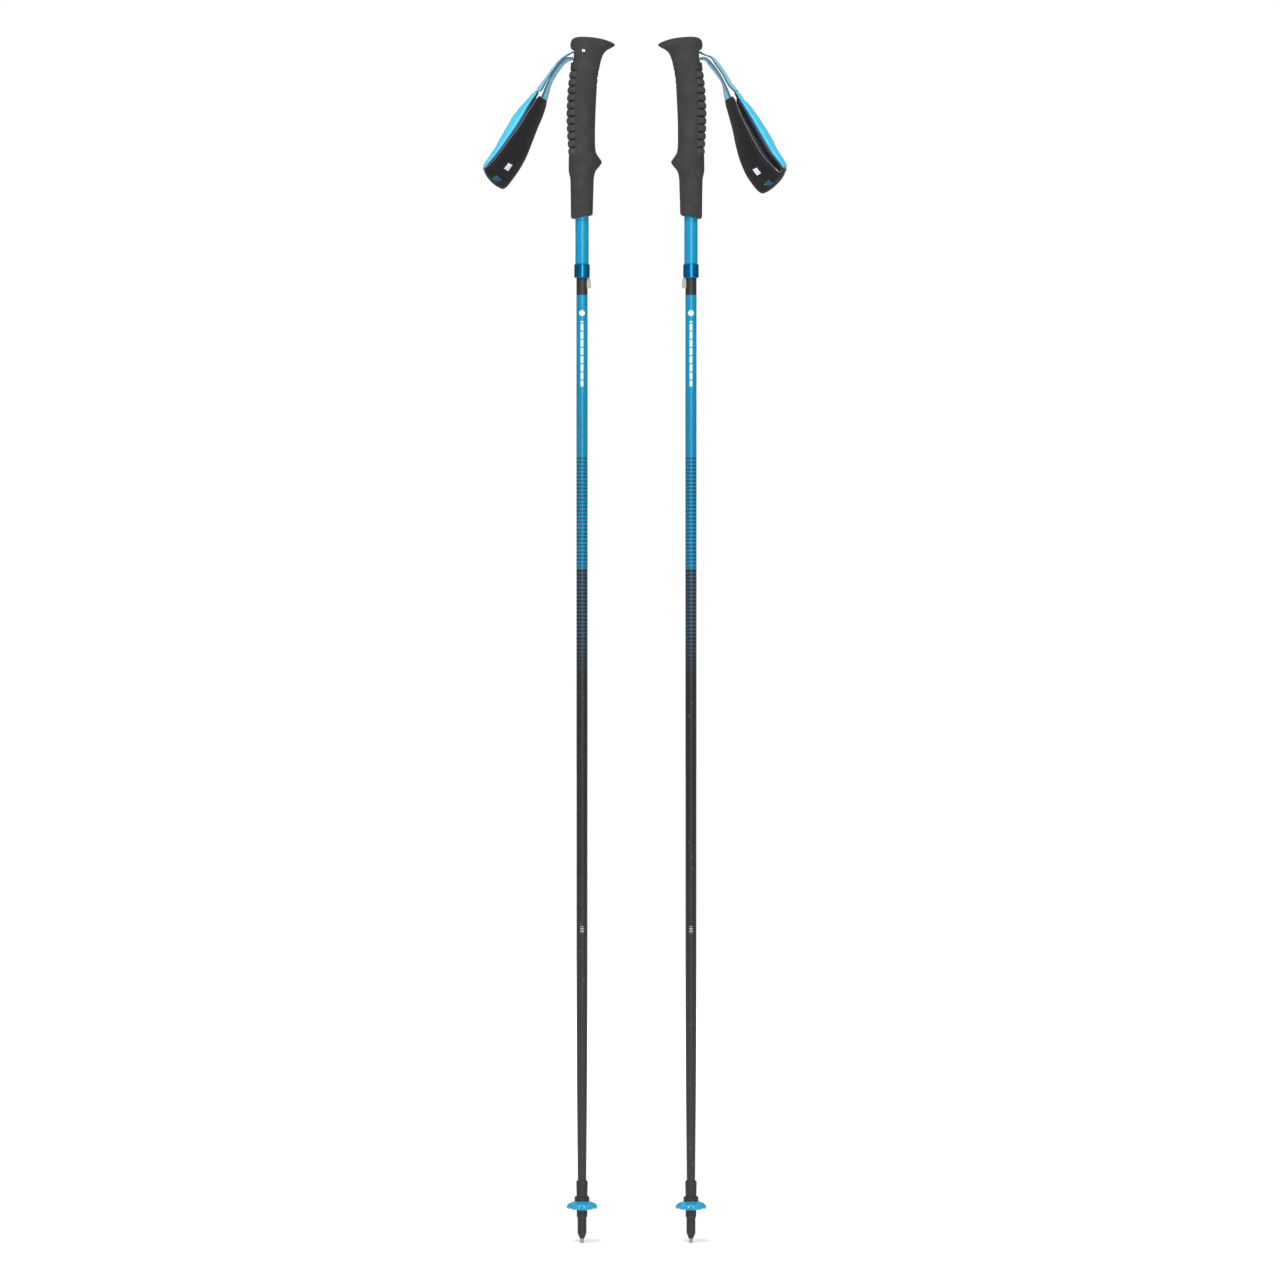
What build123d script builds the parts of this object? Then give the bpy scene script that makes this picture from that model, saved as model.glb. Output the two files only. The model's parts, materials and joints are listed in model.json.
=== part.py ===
from build123d import *
import os
from math import cos, radians, sin

# A pair of three-section folding trekking poles. Each pole is drawn on its own axis
# (tip at the origin, the handle's nose towards +X, the strap towards -X, folding towards +Y)
# and is then put in its place: the left pole as drawn, the right one turned half round.

# Lengths along a pole, from the tip upwards, in millimetres
lower_section_length = 381.0
middle_section_length = 290.0
upper_section_length = 289.0
handle_length = 240.0
pole_spacing = 108.4

# Fits, all radial or face to face
running_clearance = 0.08
glue_gap = 0.05
free_gap = 0.3

# Shafts
shaft_diameter = 11.1
shaft_wall = 0.7
shaft_mouth_chamfer = 0.3
taper_length = 180.0
taper_end_diameter = 8.5
taper_bulge = 0.17  # how far the taper's middle swells, as a share of what it narrows by
fold_pitch = 26.0

# Handle tube, its bushes and the lock collar
handle_travel = 90.0
bush_room = 0.5
handle_tube_wall = 0.6
tube_below_top = 35.0
collar_wall = 1.1
collar_height = 14.0
collar_lip = 3.0
collar_edge = 0.8
guide_bush_height = 10.0
guide_bush_end = 1.0

# Grip core, strap pin and the slot behind it
core_height = 42.0
core_below_top = 8.0
core_cheek = 1.2
pin_diameter = 4.0
pin_near_end = 13.7
pin_far_end = 12.5
pin_below_top = 15.0
pin_forward = 1.5
slot_tilt = 16.0
slot_length = 30.0
mouth_outward = 11.5
mouth_drop = 4.0
root_end_gap = 3.0

# Strap
webbing_width = 15.0
webbing_thickness = 1.6
pad_thickness = 2.4
panel_thickness = 0.9
panel_gap = 0.2

# Release button and its leaf spring
lock_zone_height = 17.0
button_height = 9.7
button_width = 5.0
button_top_proud = 2.9
button_bottom_proud = 3.4
button_nose_height = 2.5
button_base_height = 16.0
button_base_inset = 1.1
button_base_thickness = 1.1
leaf_thickness = 0.4
leaf_width = 3.2
leaf_wall_gap = 0.2
leaf_foot = 4.0
leaf_knee = 6.0
leaf_rise = 1.0
leaf_end = 2.0

# Spigots, tension cord and its fittings
spigot_depth = 25.0
spigot_tip_radius = 2.5
cord_diameter = 2.4
cord_wall_gap = 0.2
cord_turn_below = 12.0
cord_turn_length = 30.0
cord_turn_radius = 100.0
cord_end_depth = 45.0
spring_diameter = 5.8
spring_wire = 0.9
spring_height = 18.0
spring_turns = 8
plug_height = 6.0
crimp_height = 6.0
stop_gap = 2.0
crimp_to_tube_top = 1.0

# Tip ferrule
ferrule_height = 62.0
ferrule_wall = 1.5
ferrule_bore_depth = 14.0
ferrule_edge = 0.4
ferrule_band_height = 4.0
ferrule_waist = 0.3
flange_reach = 1.75
flange_height = 3.8
flange_cone_height = 1.4
neck_depth = 2.8
catch_reach = 0.65
catch_height = 6.5
catch_cone_height = 1.5
cap_seat_diameter = 9.0
cap_seat_length = 15.0

# Basket
basket_diameter = 30.0
basket_top = 42.0
basket_height = 9.0
basket_petals = 6
basket_wall = 1.6
hub_reach = 3.0
petal_notch = 0.2  # the notches' radius, as a share of the basket's

# Metal point
carbide_diameter = 3.8
carbide_height = 4.6
stem_step = 0.4
stem_height = 7.4
point_rim_height = 1.0
point_hollow = 0.8

# Radii that follow from the diameters
shaft_radius = shaft_diameter / 2
shaft_bore = shaft_radius - shaft_wall
housing_bore = shaft_bore - shaft_wall
housing_neck = shaft_radius - shaft_wall
handle_tube_bore = shaft_radius + bush_room
handle_tube_radius = handle_tube_bore + handle_tube_wall
collar_radius = handle_tube_radius + collar_wall
taper_end_radius = taper_end_diameter / 2
ferrule_radius = taper_end_radius + ferrule_wall
flange_radius = ferrule_radius + flange_reach
neck_radius = flange_radius - neck_depth
cord_radius = cord_diameter / 2
cord_hole = cord_radius + free_gap
cord_side_step = housing_bore - cord_wall_gap - cord_radius
fold_offset = fold_pitch / 2
core_radius = webbing_width / 2 + free_gap + core_cheek
pin_radius = pin_diameter / 2
half_webbing = webbing_width / 2

# Heights that follow from the lengths
lower_joint = lower_section_length
upper_joint = lower_joint + middle_section_length
collar_foot = upper_joint + upper_section_length
pole_top = collar_foot + handle_length
handle_tube_top = pole_top - tube_below_top
crimp_top = handle_tube_top - crimp_to_tube_top
anchor_foot = crimp_top - crimp_height - spring_height - plug_height
housing_foot = collar_foot - lock_zone_height
housing_top = anchor_foot - stop_gap - handle_travel
pin_height = pole_top - pin_below_top
mouth_height = pin_height - mouth_drop
button_top = collar_foot - free_gap
button_foot = button_top - button_height
basket_foot = basket_top - basket_height
ferrule_seat_foot = ferrule_height - ferrule_bore_depth

# Grip sections from the top of the pole down: depth below the top,
# reach behind the axis, reach in front of it, half width across
GRIP_SECTIONS = [
    (0.0, 2.0, 8.5, 5.0),
    (1.0, 8.0, 18.5, 8.5),
    (2.8, 10.4, 25.5, 11.5),
    (5.0, 11.2, 30.0, 13.2),
    (7.0, 11.5, 32.5, 13.8),
    (9.0, 11.3, 31.8, 14.0),
    (11.0, 11.0, 29.5, 14.0),
    (13.0, 10.8, 24.6, 14.0),
    (16.0, 11.0, 21.8, 13.9),
    (22.0, 11.2, 18.8, 13.7),
    (31.0, 11.5, 17.4, 13.6),
    (40.0, 12.8, 15.6, 13.8),
    (53.0, 14.2, 14.6, 14.2),
    (75.0, 15.2, 13.5, 14.5),
    (95.0, 14.8, 13.0, 14.4),
    (112.0, 13.6, 13.2, 14.0),
    (117.0, 13.4, 14.8, 13.9),
    (121.0, 13.4, 17.6, 13.8),
    (124.5, 13.2, 19.8, 13.6),
    (128.5, 13.4, 17.4, 13.4),
    (133.0, 13.4, 13.8, 13.0),
    (136.5, 12.8, 12.6, 12.4),
    (140.0, 11.6, 11.8, 11.8),
]
EXTENSION_SECTIONS = [
    (140.0, 11.6, 11.8, 11.8),
    (153.0, 11.4, 11.4, 11.5),
    (170.0, 11.1, 10.9, 11.2),
    (178.5, 10.9, 10.6, 11.0),
    (181.0, 10.2, 9.8, 10.2),
]

# Strap loops. Each row is one cross-section of the band, met in order from the lower strand's
# mouth, round the loop's end and back to the upper strand's mouth. It gives the far edge and
# the near edge as outward, upward and sideways distances from the middle of the strap's mouth,
# and then how far the band bulges outwards between them.
LEFT_STRAP = [
    ((2.5, -6.0, half_webbing), (3.9, -4.1, -half_webbing), 0.0),
    ((7.4, -10.3, half_webbing), (8.8, -8.8, -half_webbing), 0.0),
    ((13.6, -18.9, half_webbing), (15.8, -17.2, -half_webbing), 0.0),
    ((18.4, -28.8, 8.5), (21.5, -27.3, -8.5), 0.0),
    ((22.1, -44.5, 10.0), (28.3, -41.2, -11.0), 0.8),
    ((26.2, -58.6, 11.0), (40.0, -58.5, -13.0), 1.6),
    ((31.6, -71.6, 11.0), (48.0, -71.0, -13.0), 2.2),
    ((37.4, -86.5, 11.0), (57.5, -83.5, -13.0), 2.5),
    ((44.5, -103.4, 11.0), (68.2, -97.4, -13.0), 2.5),
    ((55.8, -121.3, 11.0), (77.2, -108.5, -13.0), 2.0),
    ((67.3, -132.5, 11.5), (83.8, -113.2, -13.0), 1.5),
    ((79.6, -124.0, 13.5), (86.1, -112.7, -12.0), 1.5),
    ((83.2, -112.0, 13.5), (84.7, -109.7, -9.0), 4.0),
    ((70.1, -97.5, 13.5), (73.5, -95.5, -6.0), 7.6),
    ((56.5, -81.1, 13.5), (60.8, -78.5, -6.0), 10.2),
    ((46.0, -65.3, 13.5), (50.2, -62.6, -6.0), 11.1),
    ((40.2, -50.7, 13.0), (42.4, -48.7, -6.5), 6.7),
    ((32.7, -36.8, 11.0), (33.8, -35.8, -7.0), 3.5),
    ((33.5, -30.8, 9.0), (29.9, -33.7, -half_webbing), 0.0),
    ((25.8, -20.8, half_webbing), (23.5, -22.4, -half_webbing), 0.0),
    ((16.4, -7.9, half_webbing), (14.6, -9.5, -half_webbing), 0.0),
    ((9.3, -0.6, half_webbing), (8.1, -2.2, -half_webbing), 0.0),
    ((2.5, 3.6, half_webbing), (1.6, 1.4, -half_webbing), 0.0),
]
RIGHT_STRAP = [
    ((2.5, -4.4, half_webbing), (2.9, -3.2, -half_webbing), 0.0),
    ((6.5, -9.4, half_webbing), (8.3, -7.8, -half_webbing), 0.0),
    ((14.0, -18.9, half_webbing), (15.7, -17.7, -half_webbing), 0.0),
    ((19.0, -27.8, 8.5), (20.9, -27.0, -8.5), 0.0),
    ((21.1, -43.7, 10.0), (27.1, -41.5, -11.0), 0.8),
    ((25.1, -59.0, 11.0), (36.3, -60.1, -13.0), 1.6),
    ((28.9, -73.6, 11.0), (45.5, -78.1, -13.0), 2.2),
    ((32.1, -89.0, 11.0), (52.0, -90.0, -13.0), 2.5),
    ((37.1, -106.0, 11.0), (59.0, -100.9, -13.0), 2.5),
    ((46.0, -123.5, 11.0), (69.0, -111.5, -13.0), 2.0),
    ((60.0, -137.0, 11.5), (76.0, -118.0, -13.0), 1.5),
    ((76.0, -125.5, 13.5), (80.5, -115.5, -12.5), 1.5),
    ((77.5, -114.0, 13.0), (77.0, -109.5, -11.0), 7.0),
    ((60.5, -100.8, 11.5), (66.4, -97.0, -9.0), 13.3),
    ((50.1, -83.8, 11.0), (56.0, -80.0, -8.0), 14.4),
    ((41.1, -65.5, 11.0), (46.0, -62.1, -8.0), 12.2),
    ((34.9, -50.3, 11.0), (37.9, -47.7, -8.0), 8.4),
    ((32.9, -36.9, 10.5), (34.1, -36.0, -8.0), 2.8),
    ((29.2, -26.1, 8.0), (26.0, -28.2, -half_webbing), 0.0),
    ((23.0, -15.5, half_webbing), (20.3, -17.5, -half_webbing), 0.0),
    ((16.4, -6.6, half_webbing), (14.0, -8.8, -half_webbing), 0.0),
    ((10.2, 0.1, half_webbing), (9.1, -1.6, -half_webbing), 0.0),
    ((2.5, 2.6, half_webbing), (2.5, 1.3, -half_webbing), 0.0),
]
PAD_FIRST = 4  # the section where the lower strand enters the pad
PANEL_FIRST = 12  # the section where the outer panel starts
PAD_LAST = 17  # the section where the upper strand leaves the pad
BAND_PLACES = (-1, -0.5, 0, 0.5, 1)  # points across a section, near edge to far edge


def turned(outline):
    """A solid of revolution about the pole's axis from (radius, height) points."""
    return revolve(Plane.XZ * make_face(Polyline(*outline, close=True)), Axis.Z)


def ring(outer, inner, low, high):
    """A straight ring between two heights."""
    return Pos(0, 0, low) * extrude(Circle(outer) - Circle(inner), high - low)


def rod(radius, low, high, x=0.0):
    """A round bar along the pole, set to one side by x."""
    return Pos(x, 0, low) * extrude(Circle(radius), high - low)


def oval_loft(sections):
    """A ruled body through ellipses, each given by its depth below the pole's top."""
    faces = []
    for depth, behind, front, half_width in sections:
        plane = Plane((front / 2 - behind / 2, 0, pole_top - depth))
        faces.append(plane * Ellipse((front + behind) / 2, half_width))
    return loft(faces, ruled=True)


def slot_plane():
    """The strap slot's own plane: along it the strands run back and down from the pin."""
    back = (-cos(radians(slot_tilt)), 0, -sin(radians(slot_tilt)))
    return Plane((pin_forward, 0, pin_height), x_dir=back, z_dir=(0, 1, 0))


def strap_slot():
    """The cut that lets both strands leave the head behind the pin."""
    half = pin_radius + webbing_thickness + 3 * free_gap
    outline = Pos(slot_length / 2, 0) * Rectangle(slot_length, 2 * half) + Circle(half)
    return extrude(slot_plane() * outline, half_webbing + free_gap, both=True)


def pin_bar(radius, end_gap):
    """A round bar across the head: open at the near side, and ending inside at the far one."""
    plane = Plane((pin_forward, pin_far_end + end_gap, pin_height), z_dir=(0, -1, 0))
    return extrude(plane * Circle(radius), pin_far_end + pin_near_end + 2 * end_gap)


def grip_foam():
    body = oval_loft(GRIP_SECTIONS)
    low = pole_top - GRIP_SECTIONS[-1][0] - 1
    body -= rod(handle_tube_radius + glue_gap, low, handle_tube_top)
    core_top = pole_top - core_below_top
    body -= rod(core_radius + glue_gap, core_top - core_height, core_top)
    return body - strap_slot() - pin_bar(pin_radius + glue_gap, free_gap)


def grip_extension():
    low = pole_top - EXTENSION_SECTIONS[-1][0] - 1
    high = pole_top - EXTENSION_SECTIONS[0][0] + 1
    return oval_loft(EXTENSION_SECTIONS) - rod(handle_tube_radius + glue_gap, low, high)


def grip_core():
    top = pole_top - core_below_top
    body = rod(core_radius, top - core_height, top)
    body -= rod(handle_tube_radius + glue_gap, top - core_height - 1, handle_tube_top)
    return body - strap_slot() - pin_bar(pin_radius + glue_gap, free_gap)


def strap_pin():
    return pin_bar(pin_radius, 0.0)


def strap_root():
    """The webbing's turn round the pin, with its two strands up to the mouth."""
    inner = pin_radius + glue_gap
    outer = inner + webbing_thickness
    length = mouth_outward + pin_forward - root_end_gap
    legs = Pos(length / 2, 0) * Rectangle(length, 2 * outer)
    gap = Pos(length / 2, 0) * Rectangle(length, 2 * inner)
    band = Circle(outer) + legs - gap - Circle(inner)
    return extrude(slot_plane() * band, half_webbing, both=True)


def strap_sections(rows, side):
    """Points across each of the strap's sections from the near edge to the far one, each with
    its inward direction. The band bulges outwards between its edges, as a parabola."""
    edges = []
    for far, near, _ in rows:
        pair = []
        for out, up, across in (far, near):
            pair.append(Vector(-mouth_outward - out, side * across, mouth_height + up))
        edges.append(pair)
    middles = [(far + near) * 0.5 for far, near in edges]
    sections = []
    for i, (far, near) in enumerate(edges):
        before = middles[max(i - 1, 0)]
        after = middles[min(i + 1, len(edges) - 1)]
        inward = (after - before).cross(far - near).normalized() * -side
        half = (far - near) * 0.5
        bulge = rows[i][2]
        points = []
        for place in BAND_PLACES:
            point = middles[i] + half * place - inward * (bulge * (1 - place**2))
            lean = half.normalized() * (2 * place * bulge)
            points.append((point, (inward * half.length - lean).normalized()))
        sections.append(points)
    return sections


def band(sections, start, thickness):
    """A ribbon through sections of the strap, from a depth below its outer face."""
    wires = []
    for points in sections:
        shallow = [point + inward * start for point, inward in points]
        deep = [point + inward * (start + thickness) for point, inward in points]
        wires.append(Wire.make_polygon((*shallow, *reversed(deep)), close=True))
    return Solid.make_loft(wires, ruled=True)


def strap_webbing(sections):
    """The two bare strands between the mouth and the pad."""
    lower = band(sections[: PAD_FIRST + 1], 0.0, webbing_thickness)
    upper = band(sections[PAD_LAST:], 0.0, webbing_thickness)
    return Compound([lower, upper])


def strap_pad(sections):
    return band(sections[PAD_FIRST : PAD_LAST + 1], panel_thickness + panel_gap, pad_thickness)


def strap_panel(sections):
    return band(sections[PANEL_FIRST : PAD_LAST + 1], 0.0, panel_thickness)


def upper_tube():
    low = collar_foot + collar_lip
    return ring(handle_tube_radius, handle_tube_bore, low, handle_tube_top)


def lock_collar():
    lip_bore = shaft_radius + 2 * running_clearance + glue_gap
    seat = handle_tube_radius + glue_gap
    top = collar_foot + collar_height
    outline = [
        (lip_bore, collar_foot),
        (collar_radius - collar_edge, collar_foot),
        (collar_radius, collar_foot + collar_edge),
        (collar_radius, top - collar_edge),
        (collar_radius - collar_edge, top),
        (seat, top),
        (seat, collar_foot + collar_lip),
        (lip_bore, collar_foot + collar_lip),
    ]
    return turned(outline)


def collar_bush():
    low = collar_foot + collar_lip
    outer = handle_tube_bore - glue_gap
    return ring(outer, shaft_radius + running_clearance, low, low + collar_height)


def lock_housing():
    """The upper section's sliding end: a plug in the shaft, a sleeve, and the guide bush's seat."""
    plug_foot = housing_foot - spigot_depth
    seat_foot = housing_top - guide_bush_end - guide_bush_height
    outline = [
        (housing_bore, plug_foot),
        (shaft_bore - glue_gap, plug_foot),
        (shaft_bore - glue_gap, housing_foot),
        (shaft_radius, housing_foot),
        (shaft_radius, seat_foot),
        (housing_neck, seat_foot),
        (housing_neck, housing_top),
        (housing_bore, housing_top),
    ]
    window = Pos(shaft_radius, 0, (button_foot + button_top) / 2) * Box(
        shaft_radius, button_width + 2 * free_gap, button_height + 2 * free_gap
    )
    return turned(outline) - window


def guide_bush():
    high = housing_top - guide_bush_end
    outer = handle_tube_bore - running_clearance
    return ring(outer, housing_neck + glue_gap, high - guide_bush_height, high)


def release_button():
    """A wedge that stands out below the collar, with a taller base behind the housing's window."""
    base_front = housing_bore - button_base_inset
    base_back = base_front - button_base_thickness
    spare = (button_base_height - button_height) / 2
    outline = [
        (base_back, button_foot - spare),
        (base_front, button_foot - spare),
        (base_front, button_foot),
        (shaft_radius + button_bottom_proud, button_foot),
        (shaft_radius + button_bottom_proud, button_foot + button_nose_height),
        (shaft_radius + button_top_proud, button_top),
        (base_front, button_top),
        (base_front, button_top + spare),
        (base_back, button_top + spare),
    ]
    face = Plane.XZ * make_face(Polyline(*outline, close=True))
    return extrude(face, button_width / 2, both=True)


def button_spring():
    """A leaf that lies on the housing's wall below the button and presses on its back."""
    wall = housing_bore - leaf_wall_gap - leaf_thickness
    back = housing_bore - button_base_inset - button_base_thickness - glue_gap
    foot = housing_foot - spigot_depth + leaf_foot
    knee = housing_foot - leaf_knee
    rise = housing_foot + leaf_rise
    top = button_top - leaf_end
    outline = [
        (wall - leaf_thickness, foot),
        (wall, foot),
        (wall, knee),
        (back, rise),
        (back, top),
        (back - leaf_thickness, top),
        (back - leaf_thickness, rise),
        (wall - leaf_thickness, knee),
    ]
    face = Plane.XZ * make_face(Polyline(*outline, close=True))
    return extrude(face, leaf_width / 2, both=True)


def section_tube(low, high):
    """A shaft with a chamfered mouth at its lower end, where the spigot below it enters."""
    outline = [
        (shaft_bore + shaft_mouth_chamfer, low),
        (shaft_radius, low),
        (shaft_radius, high),
        (shaft_bore, high),
        (shaft_bore, low + shaft_mouth_chamfer),
    ]
    return turned(outline)


def upper_section_tube():
    return section_tube(upper_joint, housing_foot)


def middle_section_tube():
    return section_tube(lower_joint, upper_joint)


def lower_section_tube():
    """The lowest shaft: straight, then a gently curved taper down to the tip ferrule."""
    taper_top = ferrule_height + taper_length
    narrowing = shaft_radius - taper_end_radius
    middle_radius = taper_end_radius + (0.5 + taper_bulge) * narrowing
    middle_height = (taper_top + ferrule_height) / 2

    def wall_face(inset):
        top = (shaft_radius - inset, taper_top)
        middle = (middle_radius - inset, middle_height)
        end = (taper_end_radius - inset, ferrule_height)
        foot = (taper_end_radius - inset, ferrule_seat_foot)
        side = Line((shaft_radius - inset, lower_joint), top)
        side += ThreePointArc(top, middle, end)
        side += Polyline(end, foot, (0, ferrule_seat_foot), (0, lower_joint))
        side += Line((0, lower_joint), (shaft_radius - inset, lower_joint))
        return make_face(side)

    return revolve(Plane.XZ * (wall_face(0.0) - wall_face(shaft_wall)), Axis.Z)


def spigot(joint):
    """A plug glued in the shaft below a joint, whose nose is an arc about the fold's axis."""
    nose_radius = shaft_bore - running_clearance
    sweep_radius = fold_offset + nose_radius
    nose_height = (sweep_radius**2 - (fold_offset + spigot_tip_radius) ** 2) ** 0.5
    half_height = nose_height / 2
    half_radius = (sweep_radius**2 - half_height**2) ** 0.5 - fold_offset
    root_radius = shaft_bore - glue_gap
    root = (root_radius, joint - spigot_depth)
    base = (nose_radius, joint)
    tip = (spigot_tip_radius, joint + nose_height)
    outline = Polyline((cord_hole, tip[1]), (cord_hole, root[1]), root, (root_radius, joint), base)
    outline += ThreePointArc(base, (half_radius, joint + half_height), tip)
    outline += Line(tip, (cord_hole, tip[1]))
    return revolve(Plane.XZ * make_face(outline), Axis.Z)


def tension_cord():
    """One cord from the lower section's plug up to the crimp above the spring in the handle."""
    low = lower_joint - cord_end_depth - plug_height
    turn = housing_foot - spigot_depth - cord_turn_below
    route = [
        (0, 0, low),
        (0, 0, turn - cord_turn_length),
        (-cord_side_step, 0, turn),
        (-cord_side_step, 0, crimp_top),
    ]
    path = FilletPolyline(*route, radius=cord_turn_radius)
    return sweep(Plane((0, 0, low)) * Circle(cord_radius), path=path)


def cord_anchor():
    """The plug fixed in the handle tube, on which the tension spring stands."""
    outer = handle_tube_bore - glue_gap
    body = rod(outer, anchor_foot, anchor_foot + plug_height)
    return body - rod(cord_hole, anchor_foot - 1, anchor_foot + plug_height + 1, -cord_side_step)


def tension_spring():
    """A closed coil round the cord, between the anchor plug and the crimp."""
    radius = (spring_diameter - spring_wire) / 2
    low = anchor_foot + plug_height + spring_wire / 2
    height = spring_height - spring_wire
    path = Helix(pitch=height / spring_turns, height=height, radius=radius)
    section = Plane(path @ 0, z_dir=path % 0) * Circle(spring_wire / 2)
    return Pos(-cord_side_step, 0, low) * sweep(section, path=path, is_frenet=True)


def cord_crimp():
    """The crimp on the cord's top end, which presses down on the spring."""
    low = crimp_top - crimp_height
    body = rod(spring_diameter / 2, low, crimp_top, -cord_side_step)
    return body - rod(cord_radius + glue_gap, low - 1, crimp_top + 1, -cord_side_step)


def cord_stop():
    """The plug in the lower section that holds the cord's bottom end."""
    high = lower_joint - cord_end_depth
    low = high - plug_height
    return ring(shaft_bore - glue_gap, cord_radius + glue_gap, low, high)


def tip_ferrule():
    """The moulded tip: a socket for the shaft, a flange, the basket's neck and the cap seat."""
    bore = taper_end_radius + glue_gap
    waist = ferrule_radius - ferrule_waist
    catch = neck_radius + catch_reach
    catch_foot = basket_foot - catch_height
    seat = cap_seat_diameter / 2
    seat_top = catch_foot - catch_cone_height
    pocket = carbide_diameter / 2 - stem_step + glue_gap
    pocket_top = carbide_height + stem_height + glue_gap
    outline = [
        (0, ferrule_seat_foot),
        (bore, ferrule_seat_foot),
        (bore, ferrule_height),
        (ferrule_radius - ferrule_edge, ferrule_height),
        (ferrule_radius, ferrule_height - ferrule_edge),
        (ferrule_radius, ferrule_height - ferrule_band_height),
        (waist, basket_top + flange_height + flange_cone_height),
        (flange_radius, basket_top + flange_height),
        (flange_radius, basket_top),
        (neck_radius, basket_top),
        (neck_radius, basket_foot),
        (catch, basket_foot),
        (catch, catch_foot),
        (seat, seat_top),
        (seat, seat_top - cap_seat_length),
        (carbide_diameter / 2 + stem_step, carbide_height),
        (pocket, carbide_height),
        (pocket, pocket_top),
        (0, pocket_top),
    ]
    return turned(outline)


def basket():
    """A drooping six-petalled disc on a hub that snaps over the ferrule's neck."""
    bore = neck_radius + glue_gap
    rim = basket_diameter / 2
    top = basket_top - glue_gap
    foot = basket_foot + glue_gap
    crown = basket_wall + hub_reach + bore
    outline = [
        (bore, foot),
        (bore + basket_wall, foot),
        (bore + hub_reach, foot + 1.6 * basket_wall),
        (rim - 2 * basket_wall, foot + 1.4 * basket_wall),
        (rim - 0.4 * basket_wall, foot + 0.8 * basket_wall),
        (rim, foot + 1.4 * basket_wall),
        (rim, foot + 2 * basket_wall),
        (rim - basket_wall, foot + 3.5 * basket_wall),
        (crown, foot + 4.2 * basket_wall),
        (bore + hub_reach, top),
        (bore, top),
    ]
    body = turned(outline)
    notch_radius = rim * petal_notch
    for i in range(basket_petals):
        angle = (i + 0.5) * 360 / basket_petals
        notch = Rot(0, 0, angle) * Pos(rim + notch_radius / 2, 0, 0)
        body -= notch * rod(notch_radius, foot - 1, top + 1)
    return body


def carbide_tip():
    """A hard metal point with a hollowed face, pressed into the ferrule."""
    rim = carbide_diameter / 2
    stem = rim - stem_step
    outline = [
        (0, carbide_height + stem_height),
        (stem, carbide_height + stem_height),
        (stem, carbide_height),
        (rim, carbide_height - glue_gap),
        (rim, point_rim_height),
        (rim - stem_step, 0),
        (0, point_hollow),
    ]
    return turned(outline)


def pole_parts(strap_rows, side):
    """Every piece of one pole by name; side is +1 where the strap's near edge faces -Y."""
    strap = strap_sections(strap_rows, side)
    return {
        "grip_foam": grip_foam(),
        "grip_extension": grip_extension(),
        "grip_core": grip_core(),
        "strap_pin": strap_pin(),
        "strap_root": strap_root(),
        "strap_webbing": strap_webbing(strap),
        "strap_pad": strap_pad(strap),
        "strap_panel": strap_panel(strap),
        "upper_tube": upper_tube(),
        "lock_collar": lock_collar(),
        "collar_bush": collar_bush(),
        "lock_housing": lock_housing(),
        "guide_bush": guide_bush(),
        "release_button": release_button(),
        "button_spring": button_spring(),
        "upper_section_tube": upper_section_tube(),
        "upper_spigot": spigot(upper_joint),
        "middle_section_tube": middle_section_tube(),
        "lower_spigot": spigot(lower_joint),
        "lower_section_tube": lower_section_tube(),
        "tension_cord": tension_cord(),
        "cord_anchor": cord_anchor(),
        "tension_spring": tension_spring(),
        "cord_crimp": cord_crimp(),
        "cord_stop": cord_stop(),
        "tip_ferrule": tip_ferrule(),
        "basket": basket(),
        "carbide_tip": carbide_tip(),
    }


def main():
    os.makedirs("parts", exist_ok=True)
    poles = {
        "left": (LEFT_STRAP, 1, -pole_spacing / 2, 0),
        "right": (RIGHT_STRAP, -1, pole_spacing / 2, 180),
    }
    for pole, (strap_rows, side, x, turn) in poles.items():
        place = Location((x, 0, 0), (0, 0, turn))
        for name, piece in pole_parts(strap_rows, side).items():
            export_step(piece.moved(place), f"parts/{pole}_{name}.step")


main()
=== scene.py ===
import json
from math import pi, radians

import bpy
import numpy as np
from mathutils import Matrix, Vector


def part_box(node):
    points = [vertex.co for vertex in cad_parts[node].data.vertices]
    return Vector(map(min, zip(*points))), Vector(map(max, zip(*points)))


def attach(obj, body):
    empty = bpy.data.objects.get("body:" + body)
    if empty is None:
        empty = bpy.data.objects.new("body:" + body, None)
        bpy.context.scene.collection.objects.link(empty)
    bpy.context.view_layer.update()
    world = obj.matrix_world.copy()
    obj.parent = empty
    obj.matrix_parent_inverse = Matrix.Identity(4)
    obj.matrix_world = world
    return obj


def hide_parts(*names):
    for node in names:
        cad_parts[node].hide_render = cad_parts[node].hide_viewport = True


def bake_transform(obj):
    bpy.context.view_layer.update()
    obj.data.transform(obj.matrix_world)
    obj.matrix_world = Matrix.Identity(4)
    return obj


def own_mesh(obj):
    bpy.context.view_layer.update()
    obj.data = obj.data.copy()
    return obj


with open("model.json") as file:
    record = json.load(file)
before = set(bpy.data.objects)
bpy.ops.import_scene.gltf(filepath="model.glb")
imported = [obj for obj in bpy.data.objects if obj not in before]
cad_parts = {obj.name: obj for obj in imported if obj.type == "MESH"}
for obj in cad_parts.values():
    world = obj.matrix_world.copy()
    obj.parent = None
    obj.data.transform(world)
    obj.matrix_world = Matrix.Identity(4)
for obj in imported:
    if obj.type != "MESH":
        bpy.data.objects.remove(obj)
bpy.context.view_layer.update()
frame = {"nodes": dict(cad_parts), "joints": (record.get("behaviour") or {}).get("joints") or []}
nodes = frame["nodes"]

# A pair of folding trekking poles. Shapes are worked out in millimetres in a pole's own frame
# (axis at the origin, nose of the grip towards +X, strap towards -X) and put in place in metres.
MM = 0.001


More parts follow.
